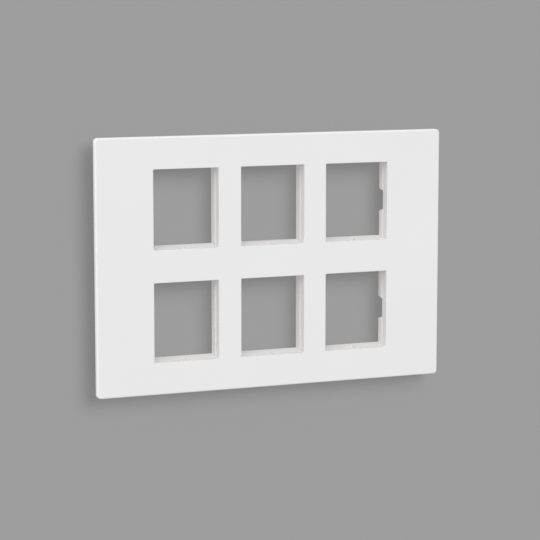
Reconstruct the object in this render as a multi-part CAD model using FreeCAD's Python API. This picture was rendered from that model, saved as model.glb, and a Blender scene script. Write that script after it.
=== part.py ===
import FreeCAD, Part
import os
from FreeCAD import Vector

# A double-row switch plate: a press-on cover over a mounting grid with six module windows.
# Millimetres. X runs to the right, Z up, and the front faces -Y.
# The origin is the middle of the plate on the wall plane, which is y = 0.

# Window grid, shared by both pieces
columns = 3
rows = 2
window_w = 38.9
window_h = 45.5
mullion_w = 13.5
bar_h = 18.5
side_margin = 33.7
end_margin = 18.2

# Cover
face_t = 2.4
rim_depth = 3.4
rim_t = 2.2
corner_r = 2.2
edge_r = 0.9
recess_corner_r = 1.0
window_corner_r = 0.6
window_edge = 0.18
pry_w = 12.0
pry_depth = 1.2

# Mounting grid
frame_inset = 6.0
frame_corner_r = 4.0
web_t = 3.8
wall_h = 5.4
wall_t = 2.0
skirt_t = 2.0
rib_t = 1.6
rib_h = 3.6
frame_edge = 0.5
seat_gap = 0.15
land = 0.4
bottom_lead = 1.35
top_lead = 0.9

# Module catches in the floor and roof of each window
catch_w = 4.4
catch_depth = 1.0
catch_back = 2.6

# Outermost side walls, which stop short of the wall plane, and their lug notches
outer_setback = 1.4
notch_mouth_w = 13.5
notch_root_w = 11.2

# Fixing screws
slot_w = 4.4
slot_len = 9.0
head_w = 8.6
head_depth = 2.4
boss_wall = 2.2

# Round marks that the ejector pins leave on the back of the web
pin_r = 2.0
pin_depth = 0.2

# Snap hooks of the cover and their slots in the grid
hook_w = 8.0
hook_t = 1.4
barb = 0.7
barb_len = 2.2
barb_flat = 0.4
hook_inset = 1.6
hook_gap = 0.1
hook_play = 0.1
hook_side_gap = 0.4
flex_room = 1.0

# Cutting tools run past the faces by this much
over = 1.0

# Places that follow from the sizes above
plate_w = columns * window_w + (columns - 1) * mullion_w + 2 * side_margin
plate_h = rows * window_h + (rows - 1) * bar_h + 2 * end_margin
frame_w = plate_w - 2 * frame_inset
frame_h = plate_h - 2 * frame_inset
pitch_x = window_w + mullion_w
pitch_z = window_h + bar_h
column_x = [(i - (columns - 1) / 2) * pitch_x for i in range(columns)]
row_z = [(i - (rows - 1) / 2) * pitch_z for i in range(rows)]
web_back = -wall_h
seat_y = web_back - web_t
front_y = seat_y - face_t
outer_wall_x = plate_w / 2 - side_margin + wall_t
screw_x = (outer_wall_x + frame_w / 2 - skirt_t) / 2
hook_edge = skirt_t + hook_inset + hook_gap
hook_reach_x = frame_w / 2 - hook_edge
hook_reach_z = frame_h / 2 - hook_edge


def rounded_prism(width, height, r, front, back):
    """A rectangle with rounded corners, centred on the Y axis and drawn out from front to back."""
    quarters = [(1, 1, 0), (-1, 1, 90), (-1, -1, 180), (1, -1, 270)]
    edges = []
    ends = []
    for side_x, side_z, start in quarters:
        centre = Vector(side_x * (width / 2 - r), front, side_z * (height / 2 - r))
        turn = [FreeCAD.Rotation(Vector(0, -1, 0), start + step) for step in (0, 45, 90)]
        points = [centre + t.multVec(Vector(r, 0, 0)) for t in turn]
        ends.append((points[0], points[2]))
        edges.append(Part.Arc(*points).toShape())
    for (_, leaving), (arriving, _) in zip(ends, ends[1:] + ends[:1]):
        if leaving.distanceToPoint(arriving) > 1e-6:
            edges.append(Part.LineSegment(leaving, arriving).toShape())
    wire = Part.Wire(Part.__sortEdges__(edges))
    return Part.Face(wire).extrude(Vector(0, back - front, 0))


def side_profile(points, width, middle_x=0.0):
    """A closed outline of (y, z) points drawn out along X, centred on middle_x."""
    corners = [Vector(middle_x - width / 2, y, z) for y, z in points]
    face = Part.Face(Part.makePolygon(corners + corners[:1]))
    return face.extrude(Vector(width, 0, 0))


def at_windows(tool):
    """One copy of a tool at the centre of every window."""
    return [tool.translated(Vector(x, 0, z)) for x in column_x for z in row_z]


def at_screws(tool):
    """One copy of a tool at each fixing slot, level with the middle of each row."""
    return [tool.translated(Vector(side * screw_x, 0, z)) for side in (-1, 1) for z in row_z]


def at_hooks(make):
    """One copy per snap hook: above and below each column, and one at each side."""
    stations = [(turn, hook_reach_z, x) for turn in (0, 180) for x in column_x]
    stations += [(turn, hook_reach_x, 0.0) for turn in (90, 270)]
    placed = []
    for turn, reach, along in stations:
        shape = make(reach).translated(Vector(along, 0, 0))
        shape.rotate(Vector(0, 0, 0), Vector(0, 1, 0), turn)
        placed.append(shape)
    return placed


def edges_in_plane(shape, y, half_x=None, half_z=None):
    """Edges that lie in the plane at y, and within the half sizes where these are given."""
    chosen = []
    for edge in shape.Edges:
        box = edge.BoundBox
        flat = abs(box.YMin - y) < 1e-4 and abs(box.YMax - y) < 1e-4
        within_x = half_x is None or max(abs(box.XMin), abs(box.XMax)) < half_x
        within_z = half_z is None or max(abs(box.ZMin), abs(box.ZMax)) < half_z
        if flat and within_x and within_z:
            chosen.append(edge)
    return chosen


def hook(reach):
    """A cantilever leg behind the cover with a ramped barb that catches behind the web."""
    root_y = seat_y - face_t / 2
    catch_y = web_back + hook_play
    tip_y = catch_y + barb_len
    inner = reach - hook_t
    return side_profile(
        [
            (root_y, inner),
            (tip_y, inner),
            (tip_y, reach),
            (catch_y + barb_flat, reach + barb),
            (catch_y, reach + barb),
            (catch_y, reach),
            (root_y, reach),
        ],
        hook_w,
    )


def hook_slot(reach):
    """The slot through the web for one hook, with room for the leg to bend inwards."""
    inner = reach - hook_t - flex_room
    outer = reach + hook_gap
    front, back = seat_y - over, web_back + over
    corners = [(front, inner), (back, inner), (back, outer), (front, outer)]
    return side_profile(corners, hook_w + 2 * hook_side_gap)


def cover_plate():
    """The moulded front: a flat face with a shallow rim, six windows and eight snap hooks."""
    plate = rounded_prism(plate_w, plate_h, corner_r, front_y, front_y + rim_depth)
    plate = plate.makeFillet(edge_r, edges_in_plane(plate, front_y))
    recess = rounded_prism(
        plate_w - 2 * rim_t, plate_h - 2 * rim_t, recess_corner_r, seat_y, front_y + rim_depth + over
    )
    window = rounded_prism(window_w, window_h, window_corner_r, front_y - over, seat_y + over)
    plate = plate.cut([recess] + at_windows(window))
    half_x = plate_w / 2 - side_margin + window_edge
    half_z = plate_h / 2 - end_margin + window_edge
    plate = plate.makeChamfer(window_edge, edges_in_plane(plate, front_y, half_x, half_z))
    pry_mouth = Part.makeBox(
        pry_w,
        pry_depth + over,
        rim_t + 2 * over,
        Vector(-pry_w / 2, front_y + rim_depth - pry_depth, -plate_h / 2 - over),
    )
    return plate.cut(pry_mouth).fuse(at_hooks(hook)).removeSplitter()


def window_seat():
    """The front stretch of one window's passage through the grid, with a catch notch in its floor and roof."""
    seat = rounded_prism(
        window_w + 2 * seat_gap, window_h + 2 * seat_gap, window_corner_r, seat_y - over, web_back
    )
    catch_reach = window_h / 2 + seat_gap + catch_depth
    notches = Part.makeBox(
        catch_w,
        over + web_t + catch_back,
        2 * catch_reach,
        Vector(-catch_w / 2, seat_y - over, -catch_reach),
    )
    return seat.fuse(notches)


def window_passage():
    """The back stretch between two lands that a module rests on: floor and roof lead inwards to the wall."""
    floor, roof = -window_h / 2, window_h / 2
    overrun = 1 + over / wall_h
    return side_profile(
        [
            (web_back - over, floor),
            (web_back, floor),
            (over, floor + bottom_lead * overrun),
            (over, roof - top_lead * overrun),
            (web_back, roof),
            (web_back - over, roof),
        ],
        window_w - 2 * land,
    )


def outer_wall_cuts():
    """What the outermost side walls lack: their back edge, and a flared notch from there up to the web."""
    low = -window_h / 2 + bottom_lead
    high = window_h / 2 - top_lead
    mouth = notch_mouth_w / 2
    root = notch_root_w / 2
    outline = [
        (over, low),
        (over, high),
        (-outer_setback, high),
        (-outer_setback, mouth),
        (web_back, root),
        (web_back, -root),
        (-outer_setback, -mouth),
        (-outer_setback, low),
    ]
    cuts = []
    for side in (-1, 1):
        tool = side_profile(outline, wall_t + 2 * over, side * (outer_wall_x - wall_t / 2))
        cuts += [tool.translated(Vector(0, 0, z)) for z in row_z]
    return cuts


def ribs():
    """The lattice on the back of the web, in line with the window walls."""
    across, up = frame_w - skirt_t, frame_h - skirt_t
    bars = []
    for side in (-1, 1):
        for x in column_x:
            line = x + side * (window_w + wall_t) / 2
            bars.append(Part.makeBox(rib_t, rib_h, up, Vector(line - rib_t / 2, web_back, -up / 2)))
        for z in row_z:
            line = z + side * (window_h + wall_t) / 2
            bars.append(Part.makeBox(across, rib_h, rib_t, Vector(-across / 2, web_back, line - rib_t / 2)))
    return bars


def pin_marks():
    """Shallow round marks along the middle bar and in the corners of the web's back."""
    corner_z = (row_z[-1] + window_h / 2 + wall_t + frame_h / 2 - skirt_t) / 2
    stations = [(x, 0.0) for x in column_x]
    stations += [((a + b) / 2, 0.0) for a, b in zip(column_x, column_x[1:])]
    stations += [(side * screw_x, z) for side in (-1, 1) for z in (-corner_z, 0.0, corner_z)]
    marks = []
    for x, z in stations:
        start = Vector(x, web_back - pin_depth, z)
        marks.append(Part.makeCylinder(pin_r, pin_depth + over, start, Vector(0, 1, 0)))
    return marks


def grid_frame():
    """The moulded grid: a web, its skirt, a wall round every window, screw bosses and ribs."""
    body = rounded_prism(frame_w, frame_h, frame_corner_r, seat_y, 0.0)
    body = body.makeChamfer(frame_edge, edges_in_plane(body, 0.0))
    hollow = rounded_prism(
        frame_w - 2 * skirt_t, frame_h - 2 * skirt_t, frame_corner_r - skirt_t, web_back, over
    )
    window_wall = rounded_prism(window_w + 2 * wall_t, window_h + 2 * wall_t, wall_t, web_back, 0.0)
    boss = rounded_prism(
        slot_len + 2 * boss_wall, slot_w + 2 * boss_wall, slot_w / 2 + boss_wall, web_back, 0.0
    )
    body = body.cut(hollow).fuse(at_windows(window_wall) + at_screws(boss) + ribs())

    cuts = at_windows(window_seat()) + at_windows(window_passage())
    cuts += outer_wall_cuts() + pin_marks()
    cuts += at_screws(rounded_prism(slot_len, slot_w, slot_w / 2, seat_y - over, over))
    head_len = slot_len + head_w - slot_w
    cuts += at_screws(rounded_prism(head_len, head_w, head_w / 2, seat_y - over, seat_y + head_depth))
    cuts += at_hooks(hook_slot)
    return body.cut(cuts).removeSplitter()


os.makedirs("parts", exist_ok=True)
for name, make in (("cover_plate", cover_plate), ("grid_frame", grid_frame)):
    shape = make()
    solid = shape.Solids[0] if len(shape.Solids) == 1 else shape
    solid.exportStep("parts/" + name + ".step")
    print(name, len(shape.Solids), solid.isValid(), round(solid.Volume, 1), solid.BoundBox)
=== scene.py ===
import math

import bpy
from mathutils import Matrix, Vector


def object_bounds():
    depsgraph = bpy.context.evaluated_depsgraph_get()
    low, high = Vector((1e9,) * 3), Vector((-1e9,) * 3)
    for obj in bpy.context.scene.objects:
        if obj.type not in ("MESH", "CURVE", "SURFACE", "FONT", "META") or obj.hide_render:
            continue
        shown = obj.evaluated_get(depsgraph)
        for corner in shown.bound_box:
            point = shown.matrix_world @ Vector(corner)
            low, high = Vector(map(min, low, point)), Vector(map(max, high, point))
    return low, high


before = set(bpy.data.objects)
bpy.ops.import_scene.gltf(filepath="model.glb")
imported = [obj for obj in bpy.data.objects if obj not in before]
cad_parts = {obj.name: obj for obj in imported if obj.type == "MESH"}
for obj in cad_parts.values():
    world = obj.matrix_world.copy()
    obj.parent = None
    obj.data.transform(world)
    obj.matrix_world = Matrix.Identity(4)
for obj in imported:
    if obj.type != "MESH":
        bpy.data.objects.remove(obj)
cad_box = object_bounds()

bl_info = {
    "name": "Grid Switch Plate",
    "version": (1, 0, 0),
    "blender": (4, 5, 0),
    "location": "View3D > Sidebar > Switch Plate",
    "description": "Finishes a six-window switch plate and sets it on a studio wall",
    "category": "Object",
}

# The plate's face and the back that lies on the wall, in metres along Y
PLATE_FRONT = cad_box[0][1]
PLATE_BACK = cad_box[1][1]

# Lumps in the plastic's colour and gloss, in metres
DRIFT_WIDTH = 0.06
CLOUD_WIDTH = 0.012

# Change over those lumps: of colour, as a share either way, and of roughness, as its whole range
TONE_DRIFT = 0.015
GLOSS_DRIFT = 0.04
GLOSS_CLOUD = 0.08

# Middle of a noise that runs from 0 to 1
NOISE_MIDDLE = 0.5

# Refraction of the plastic, and samples that round its edges
PLASTIC_IOR = 1.5
EDGE_SAMPLES = 6

# Socket numbers of a Mix node that mixes colours
MIX_SHARE = 0
MIX_FIRST = 6
MIX_SECOND = 7
MIX_RESULT = 2

# Camera: film width in millimetres, then the nearest and farthest things it sees, in metres
FILM_WIDTH = 36.0
NEAREST = 0.01
FARTHEST = 20.0

# Where a distant lamp's object stands, which has no effect on its light
SUN_DISTANCE = 1.0


class PlateFinish(bpy.types.PropertyGroup):
    """Colours and surface of the moulded plastic."""

    cover_colour: bpy.props.FloatVectorProperty(
        name="Cover colour",
        description="Colour of the polished white cover",
        subtype="COLOR",
        size=3,
        min=0.0,
        max=1.0,
        default=(0.835, 0.835, 0.835),
    )
    grid_colour: bpy.props.FloatVectorProperty(
        name="Grid colour",
        description="Colour of the duller white mounting grid",
        subtype="COLOR",
        size=3,
        min=0.0,
        max=1.0,
        default=(0.818, 0.803, 0.794),
    )
    cover_roughness: bpy.props.FloatProperty(
        name="Cover roughness",
        description="Roughness of the cover's polished face",
        subtype="FACTOR",
        min=0.0,
        max=1.0,
        default=0.34,
    )
    grid_roughness: bpy.props.FloatProperty(
        name="Grid roughness",
        description="Roughness of the grid's spark-eroded skin",
        subtype="FACTOR",
        min=0.0,
        max=1.0,
        default=0.55,
    )
    ripple_width: bpy.props.FloatProperty(
        name="Ripple width",
        description="Width of the shallow waves that moulding leaves in a polished face",
        unit="LENGTH",
        min=0.0001,
        default=0.004,
    )
    ripple_depth: bpy.props.FloatProperty(
        name="Ripple depth",
        description="Height of those waves",
        unit="LENGTH",
        min=0.0,
        default=0.000012,
    )
    grain_width: bpy.props.FloatProperty(
        name="Grain width",
        description="Width of one grain of the spark-eroded skin",
        unit="LENGTH",
        min=0.00005,
        default=0.0003,
    )
    grain_depth: bpy.props.FloatProperty(
        name="Grain depth",
        description="Height of those grains",
        unit="LENGTH",
        min=0.0,
        default=0.000008,
    )
    edge_radius: bpy.props.FloatProperty(
        name="Edge radius",
        description="Radius that moulding leaves on edges which are drawn sharp",
        unit="LENGTH",
        min=0.0,
        default=0.0002,
    )


class StageSetup(bpy.types.PropertyGroup):
    """Wall, light and camera."""

    backdrop_colour: bpy.props.FloatVectorProperty(
        name="Backdrop colour",
        description="Colour that the wall shows in the open and that lies beyond the stage",
        subtype="COLOR",
        size=3,
        min=0.0,
        max=1.0,
        default=(0.342, 0.342, 0.342),
    )
    wall_colour: bpy.props.FloatVectorProperty(
        name="Wall paint",
        description="Part of the wall's colour that takes light and shadow",
        subtype="COLOR",
        size=3,
        min=0.0,
        max=1.0,
        default=(0.110, 0.110, 0.110),
    )
    wall_glow: bpy.props.FloatVectorProperty(
        name="Wall glow",
        description="Part of the wall's colour that stays in full shadow",
        subtype="COLOR",
        size=3,
        min=0.0,
        max=1.0,
        default=(0.158, 0.158, 0.158),
    )
    floor_colour: bpy.props.FloatVectorProperty(
        name="Floor colour",
        description="Colour of the plain floor below the plate",
        subtype="COLOR",
        size=3,
        min=0.0,
        max=1.0,
        default=(0.50, 0.50, 0.50),
    )
    wall_gap: bpy.props.FloatProperty(
        name="Wall gap",
        description="Distance of the wall from the back of the plate",
        unit="LENGTH",
        default=0.0002,
    )
    floor_height: bpy.props.FloatProperty(
        name="Floor height",
        description="Height of the floor against the middle of the plate",
        unit="LENGTH",
        default=-0.45,
    )
    stage_reach: bpy.props.FloatProperty(
        name="Stage reach",
        description="How far the wall and the floor run out from the plate",
        unit="LENGTH",
        default=1.5,
    )
    key_strength: bpy.props.FloatProperty(
        name="Key strength",
        description="Light on the plate from the soft lamp at the upper left",
        default=1.58,
    )
    key_softness: bpy.props.FloatProperty(
        name="Key softness",
        description="Width of the plate's soft lamp as an angle",
        subtype="ANGLE",
        default=math.radians(60.0),
    )
    key_from: bpy.props.FloatVectorProperty(
        name="Key direction",
        description="Direction from the plate to its soft lamp",
        subtype="DIRECTION",
        size=3,
        default=(-0.42, -0.58, 0.70),
    )
    key_distance: bpy.props.FloatProperty(
        name="Key distance",
        description="Distance of the plate's soft lamp, since a near one lights the face less evenly",
        unit="LENGTH",
        default=6.0,
    )
    rim_strength: bpy.props.FloatProperty(
        name="Rim strength",
        description="Light that grazes the plate's left and upper sides",
        default=0.8,
    )
    rim_from: bpy.props.FloatVectorProperty(
        name="Rim direction",
        description="Direction from the plate to the lamp for its sides",
        subtype="DIRECTION",
        size=3,
        default=(-0.85, 0.0, 0.5),
    )
    rim_softness: bpy.props.FloatProperty(
        name="Rim softness",
        description="Width of the lamp for the plate's sides as an angle",
        subtype="ANGLE",
        default=math.radians(0.5),
    )
    wall_strength: bpy.props.FloatProperty(
        name="Wall lamp strength",
        description="Light on the wall from the lamp at the upper right, which casts the plate's shadow",
        default=3.55,
    )
    wall_softness: bpy.props.FloatProperty(
        name="Wall lamp softness",
        description="Width of the wall's lamp as an angle",
        subtype="ANGLE",
        default=math.radians(44.0),
    )
    wall_from: bpy.props.FloatVectorProperty(
        name="Wall lamp direction",
        description="Direction from the plate to the wall's lamp",
        subtype="DIRECTION",
        size=3,
        default=(0.46, -1.0, 0.62),
    )
    back_strength: bpy.props.FloatProperty(
        name="Back strength",
        description="Light on the back of the plate, for views from behind",
        default=1.65,
    )
    back_from: bpy.props.FloatVectorProperty(
        name="Back direction",
        description="Direction from the plate to the lamp behind it",
        subtype="DIRECTION",
        size=3,
        default=(0.60, 0.75, 0.15),
    )
    back_softness: bpy.props.FloatProperty(
        name="Back softness",
        description="Width of the lamp behind the plate as an angle",
        subtype="ANGLE",
        default=math.radians(5.0),
    )
    room_front: bpy.props.FloatProperty(
        name="Room light, front",
        description="Strength of the even light from the front half of the room",
        default=0.78,
    )
    room_back: bpy.props.FloatProperty(
        name="Room light, back",
        description="Strength of the light that a grey wall returns from behind",
        default=0.36,
    )
    room_turn: bpy.props.FloatProperty(
        name="Room light, turn",
        description="Half width of the band along the wall where front light turns into back light",
        min=0.0,
        max=1.0,
        default=0.15,
    )
    room_lift: bpy.props.FloatProperty(
        name="Room light, lift",
        description="How much the room's light grows from level to straight above",
        default=0.04,
    )
    view_azimuth: bpy.props.FloatProperty(
        name="View azimuth",
        description="Camera angle round the plate, negative to its left",
        subtype="ANGLE",
        default=math.radians(-21.88),
    )
    view_elevation: bpy.props.FloatProperty(
        name="View elevation",
        description="Camera angle above the plate's middle",
        subtype="ANGLE",
        default=math.radians(7.78),
    )
    view_distance: bpy.props.FloatProperty(
        name="View distance",
        description="Distance from the camera to the point it looks at",
        unit="LENGTH",
        default=1.142,
    )
    view_target: bpy.props.FloatVectorProperty(
        name="View target",
        description="Point the camera looks at",
        subtype="XYZ",
        unit="LENGTH",
        size=3,
        default=(-0.0019, PLATE_FRONT, -0.00515),
    )
    view_lens: bpy.props.FloatProperty(
        name="Lens",
        description="Focal length in millimetres",
        unit="CAMERA",
        default=132.9,
    )


class Wire:
    """An output of a shader node. Arithmetic on it adds Math nodes."""

    def __init__(self, graph, socket):
        self.graph = graph
        self.socket = socket

    def __add__(self, other):
        return self.graph.math("ADD", self, other)

    def __radd__(self, other):
        return self.graph.math("ADD", other, self)

    def __sub__(self, other):
        return self.graph.math("SUBTRACT", self, other)

    def __rsub__(self, other):
        return self.graph.math("SUBTRACT", other, self)

    def __mul__(self, other):
        return self.graph.math("MULTIPLY", self, other)

    def __rmul__(self, other):
        return self.graph.math("MULTIPLY", other, self)


class Graph:
    """The shader nodes of one material or world."""

    def __init__(self, owner):
        owner.use_nodes = True
        self.tree = owner.node_tree
        self.tree.nodes.clear()

    def node(self, kind, settings=None, inputs=None, output=0):
        """Adds a node, sets it up, fills or links its sockets and hands back one of its outputs."""
        made = self.tree.nodes.new(kind)
        for name, value in (settings or {}).items():
            setattr(made, name, value)
        for key, value in (inputs or {}).items():
            if isinstance(value, Wire):
                self.tree.links.new(value.socket, made.inputs[key])
            else:
                made.inputs[key].default_value = value
        return Wire(self, made.outputs[output]) if len(made.outputs) else None

    def math(self, operation, first, second):
        return self.node("ShaderNodeMath", {"operation": operation}, {0: first, 1: second})

    def noise(self, place, width, detail):
        """Soft noise from 0 to 1 whose lumps are about as wide as given, in metres."""
        inputs = {"Vector": place, "Scale": 1.0 / width, "Detail": detail}
        return self.node("ShaderNodeTexNoise", None, inputs, "Fac")

    def blend(self, share, first, second):
        """Mixes two colours."""
        inputs = {MIX_SHARE: share, MIX_FIRST: first, MIX_SECOND: second}
        return self.node("ShaderNodeMix", {"data_type": "RGBA"}, inputs, MIX_RESULT)


def opaque(colour, factor=1.0):
    """A colour property as the four numbers of a socket, lightened or darkened by a factor."""
    return (*(min(1.0, part * factor) for part in colour), 1.0)


def moulded_plastic(name, colour, roughness, relief_width, relief_depth, relief_detail, edge_radius):
    """Plastic with a faint drift of colour and gloss, a fine relief and slightly rounded edges."""
    material = bpy.data.materials.new(name)
    graph = Graph(material)
    place = graph.node("ShaderNodeTexCoord", output="Object")
    drift = graph.noise(place, DRIFT_WIDTH, detail=2.0)
    cloud = graph.noise(place, CLOUD_WIDTH, detail=3.0)
    tone = graph.blend(drift, opaque(colour, 1.0 - TONE_DRIFT), opaque(colour, 1.0 + TONE_DRIFT))
    gloss = roughness + GLOSS_CLOUD * (cloud - NOISE_MIDDLE) + GLOSS_DRIFT * (drift - NOISE_MIDDLE)
    relief = graph.noise(place, relief_width, relief_detail)
    soft_edges = graph.node("ShaderNodeBevel", {"samples": EDGE_SAMPLES}, {"Radius": edge_radius})
    normal = graph.node(
        "ShaderNodeBump",
        None,
        {"Strength": 1.0, "Distance": relief_depth, "Height": relief, "Normal": soft_edges},
    )
    surface = graph.node(
        "ShaderNodeBsdfPrincipled",
        None,
        {"Base Color": tone, "Roughness": gloss, "Normal": normal, "IOR": PLASTIC_IOR},
    )
    graph.node("ShaderNodeOutputMaterial", None, {"Surface": surface})
    return material


def one_sided_paint(name, colour, glow):
    """Flat paint with an even glow that shows only from its front side."""
    material = bpy.data.materials.new(name)
    graph = Graph(material)
    paint = graph.node(
        "ShaderNodeBsdfPrincipled",
        None,
        {
            "Base Color": opaque(colour),
            "Roughness": 0.9,
            "Specular IOR Level": 0.0,
            "Emission Color": opaque(glow),
            "Emission Strength": 1.0,
        },
    )
    clear = graph.node("ShaderNodeBsdfTransparent")
    behind = graph.node("ShaderNodeNewGeometry", output="Backfacing")
    surface = graph.node("ShaderNodeMixShader", None, {0: behind, 1: paint, 2: clear})
    graph.node("ShaderNodeOutputMaterial", None, {"Surface": surface})
    return material


def give_finish(node_name, material):
    """Puts one material on a CAD node."""
    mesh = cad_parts[node_name].data
    mesh.materials.clear()
    mesh.materials.append(material)


class SWITCHPLATE_OT_cover(bpy.types.Operator):
    """Finish the press-on cover in polished white plastic"""

    bl_idname = "switchplate.cover"
    bl_label = "Finish Cover"

    def execute(self, context):
        finish = context.scene.plate_finish
        material = moulded_plastic(
            "polished_white",
            colour=finish.cover_colour,
            roughness=finish.cover_roughness,
            relief_width=finish.ripple_width,
            relief_depth=finish.ripple_depth,
            relief_detail=1.0,
            edge_radius=finish.edge_radius,
        )
        give_finish("cover_plate", material)
        return {"FINISHED"}


class SWITCHPLATE_OT_grid(bpy.types.Operator):
    """Finish the mounting grid in duller white plastic"""

    bl_idname = "switchplate.grid"
    bl_label = "Finish Grid"

    def execute(self, context):
        finish = context.scene.plate_finish
        material = moulded_plastic(
            "matte_white",
            colour=finish.grid_colour,
            roughness=finish.grid_roughness,
            relief_width=finish.grain_width,
            relief_depth=finish.grain_depth,
            relief_detail=2.0,
            edge_radius=finish.edge_radius,
        )
        give_finish("grid_frame", material)
        return {"FINISHED"}


def stage_plane(name, location, turn, size, material):
    """A plain square that only the camera sees, so that light reaches the back of the plate."""
    bpy.ops.object.select_all(action="DESELECT")
    bpy.ops.mesh.primitive_plane_add(size=size, location=location, rotation=turn)
    plane = bpy.context.active_object
    plane.name = name
    plane.data.materials.append(material)
    plane.visible_diffuse = False
    plane.visible_glossy = False
    plane.visible_transmission = False
    plane.visible_shadow = False
    return plane


def lit_group(name, members):
    """The objects that a lamp shines on, while it leaves the others dark."""
    group = bpy.data.collections.new(name)
    for member in members:
        group.objects.link(member)
    return group


def hang_lamp(lamp, toward_lamp, distance, group):
    """Puts a lamp where it shines on one group of objects from the given direction."""
    toward = Vector(toward_lamp).normalized()
    holder = bpy.data.objects.new(lamp.name, lamp)
    holder.location = toward * distance
    holder.rotation_mode = "QUATERNION"
    holder.rotation_quaternion = toward.to_track_quat("Z", "Y")
    holder.light_linking.receiver_collection = group
    bpy.context.scene.collection.objects.link(holder)


def soft_sun(name, toward_lamp, strength, softness, group):
    """A distant lamp."""
    lamp = bpy.data.lights.new(name, "SUN")
    lamp.energy = strength
    lamp.angle = softness
    hang_lamp(lamp, toward_lamp, SUN_DISTANCE, group)


def soft_box(name, toward_lamp, distance, strength, softness, group):
    """A round studio lamp. A small one gives the plate as much light as a sun of that strength."""
    lamp = bpy.data.lights.new(name, "AREA")
    lamp.shape = "DISK"
    lamp.size = 2.0 * distance * math.tan(softness / 2.0)
    lamp.energy = strength * math.pi * distance**2
    hang_lamp(lamp, toward_lamp, distance, group)


def room_light(setup):
    """Even light from the front, a greyer return from behind and the wall's grey as background."""
    world = bpy.data.worlds.new("room")
    bpy.context.scene.world = world
    graph = Graph(world)
    look = graph.node("ShaderNodeTexCoord", output="Generated")
    depth = graph.node("ShaderNodeSeparateXYZ", None, {"Vector": look}, "Y")
    height = graph.node("ShaderNodeSeparateXYZ", None, {"Vector": look}, "Z")
    share = graph.node(
        "ShaderNodeMapRange",
        {"interpolation_type": "SMOOTHSTEP"},
        {
            "Value": depth,
            "From Min": -setup.room_turn,
            "From Max": setup.room_turn,
            "To Min": setup.room_front,
            "To Max": setup.room_back,
        },
    )
    strength = share + setup.room_lift * height
    white = (1.0, 1.0, 1.0, 1.0)
    grey = opaque(setup.backdrop_colour)
    light = graph.node("ShaderNodeBackground", None, {"Color": white, "Strength": strength})
    shown = graph.node("ShaderNodeBackground", None, {"Color": grey, "Strength": 1.0})
    camera_ray = graph.node("ShaderNodeLightPath", output="Is Camera Ray")
    glossy_ray = graph.node("ShaderNodeLightPath", output="Is Glossy Ray")
    through_ray = graph.node("ShaderNodeLightPath", output="Is Transmission Ray")
    seen = camera_ray + glossy_ray + through_ray
    surface = graph.node("ShaderNodeMixShader", None, {0: seen, 1: light, 2: shown})
    graph.node("ShaderNodeOutputWorld", None, {"Surface": surface})


def photo_camera(setup):
    """The camera at the photograph's angle."""
    azimuth = setup.view_azimuth
    elevation = setup.view_elevation
    back = Vector(
        (
            math.sin(azimuth) * math.cos(elevation),
            -math.cos(azimuth) * math.cos(elevation),
            math.sin(elevation),
        )
    )
    data = bpy.data.cameras.new("camera")
    data.lens = setup.view_lens
    data.sensor_width = FILM_WIDTH
    data.clip_start = NEAREST
    data.clip_end = FARTHEST
    camera = bpy.data.objects.new("camera", data)
    camera.location = Vector(setup.view_target) + back * setup.view_distance
    camera.rotation_mode = "QUATERNION"
    camera.rotation_quaternion = (-back).to_track_quat("-Z", "Y")
    bpy.context.scene.collection.objects.link(camera)
    bpy.context.scene.camera = camera


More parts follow.
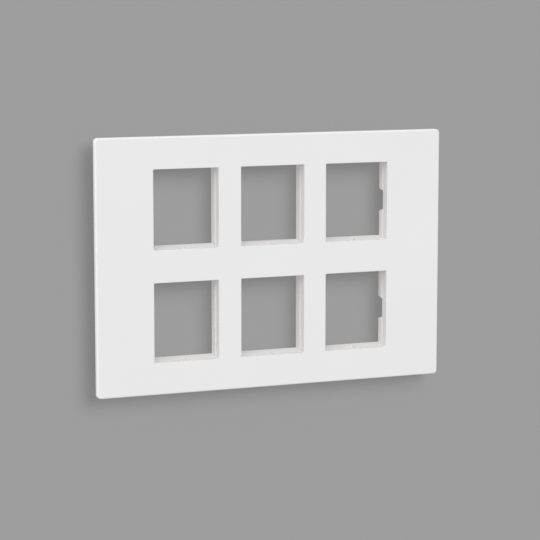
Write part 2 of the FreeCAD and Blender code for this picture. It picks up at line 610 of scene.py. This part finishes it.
class SWITCHPLATE_OT_stage(bpy.types.Operator):
    """Set up the wall, the floor, the soft light and the camera"""

    bl_idname = "switchplate.stage"
    bl_label = "Set Up Stage"

    def execute(self, context):
        setup = context.scene.plate_stage
        context.scene.view_settings.view_transform = "Standard"
        side = 2.0 * setup.stage_reach
        upright = (math.radians(90.0), 0.0, 0.0)
        level = (0.0, 0.0, 0.0)
        wall_place = (0.0, PLATE_BACK + setup.wall_gap, 0.0)
        floor_place = (0.0, -setup.stage_reach, setup.floor_height)
        no_glow = (0.0, 0.0, 0.0)
        wall_paint = one_sided_paint("wall_paint", setup.wall_colour, setup.wall_glow)
        floor_paint = one_sided_paint("floor_paint", setup.floor_colour, no_glow)
        wall = stage_plane("wall", wall_place, upright, side, wall_paint)
        floor = stage_plane("floor", floor_place, level, side, floor_paint)
        plate = lit_group("plate_light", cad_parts.values())
        stage = lit_group("stage_light", (wall, floor))
        soft_box(
            "key_lamp",
            setup.key_from,
            setup.key_distance,
            setup.key_strength,
            setup.key_softness,
            plate,
        )
        soft_sun("rim_lamp", setup.rim_from, setup.rim_strength, setup.rim_softness, plate)
        soft_sun("back_lamp", setup.back_from, setup.back_strength, setup.back_softness, plate)
        soft_sun("wall_lamp", setup.wall_from, setup.wall_strength, setup.wall_softness, stage)
        room_light(setup)
        photo_camera(setup)
        return {"FINISHED"}


class SWITCHPLATE_PT_panel(bpy.types.Panel):
    """The steps and settings of the switch plate."""

    bl_idname = "SWITCHPLATE_PT_panel"
    bl_label = "Grid Switch Plate"
    bl_space_type = "VIEW_3D"
    bl_region_type = "UI"
    bl_category = "Switch Plate"

    def draw(self, context):
        layout = self.layout
        for operator in OPERATORS:
            layout.operator(operator.bl_idname)
        for settings in (context.scene.plate_finish, context.scene.plate_stage):
            box = layout.box()
            for name in settings.__annotations__:
                box.prop(settings, name)


OPERATORS = (SWITCHPLATE_OT_cover, SWITCHPLATE_OT_grid, SWITCHPLATE_OT_stage)
CLASSES = (PlateFinish, StageSetup, *OPERATORS, SWITCHPLATE_PT_panel)


def register():
    for cls in CLASSES:
        bpy.utils.register_class(cls)
    bpy.types.Scene.plate_finish = bpy.props.PointerProperty(type=PlateFinish)
    bpy.types.Scene.plate_stage = bpy.props.PointerProperty(type=StageSetup)


def unregister():
    del bpy.types.Scene.plate_stage
    del bpy.types.Scene.plate_finish
    for cls in reversed(CLASSES):
        bpy.utils.unregister_class(cls)


def main():
    register()
    bpy.ops.switchplate.cover()
    bpy.ops.switchplate.grid()
    bpy.ops.switchplate.stage()


if __name__ == "__main__":
    main()
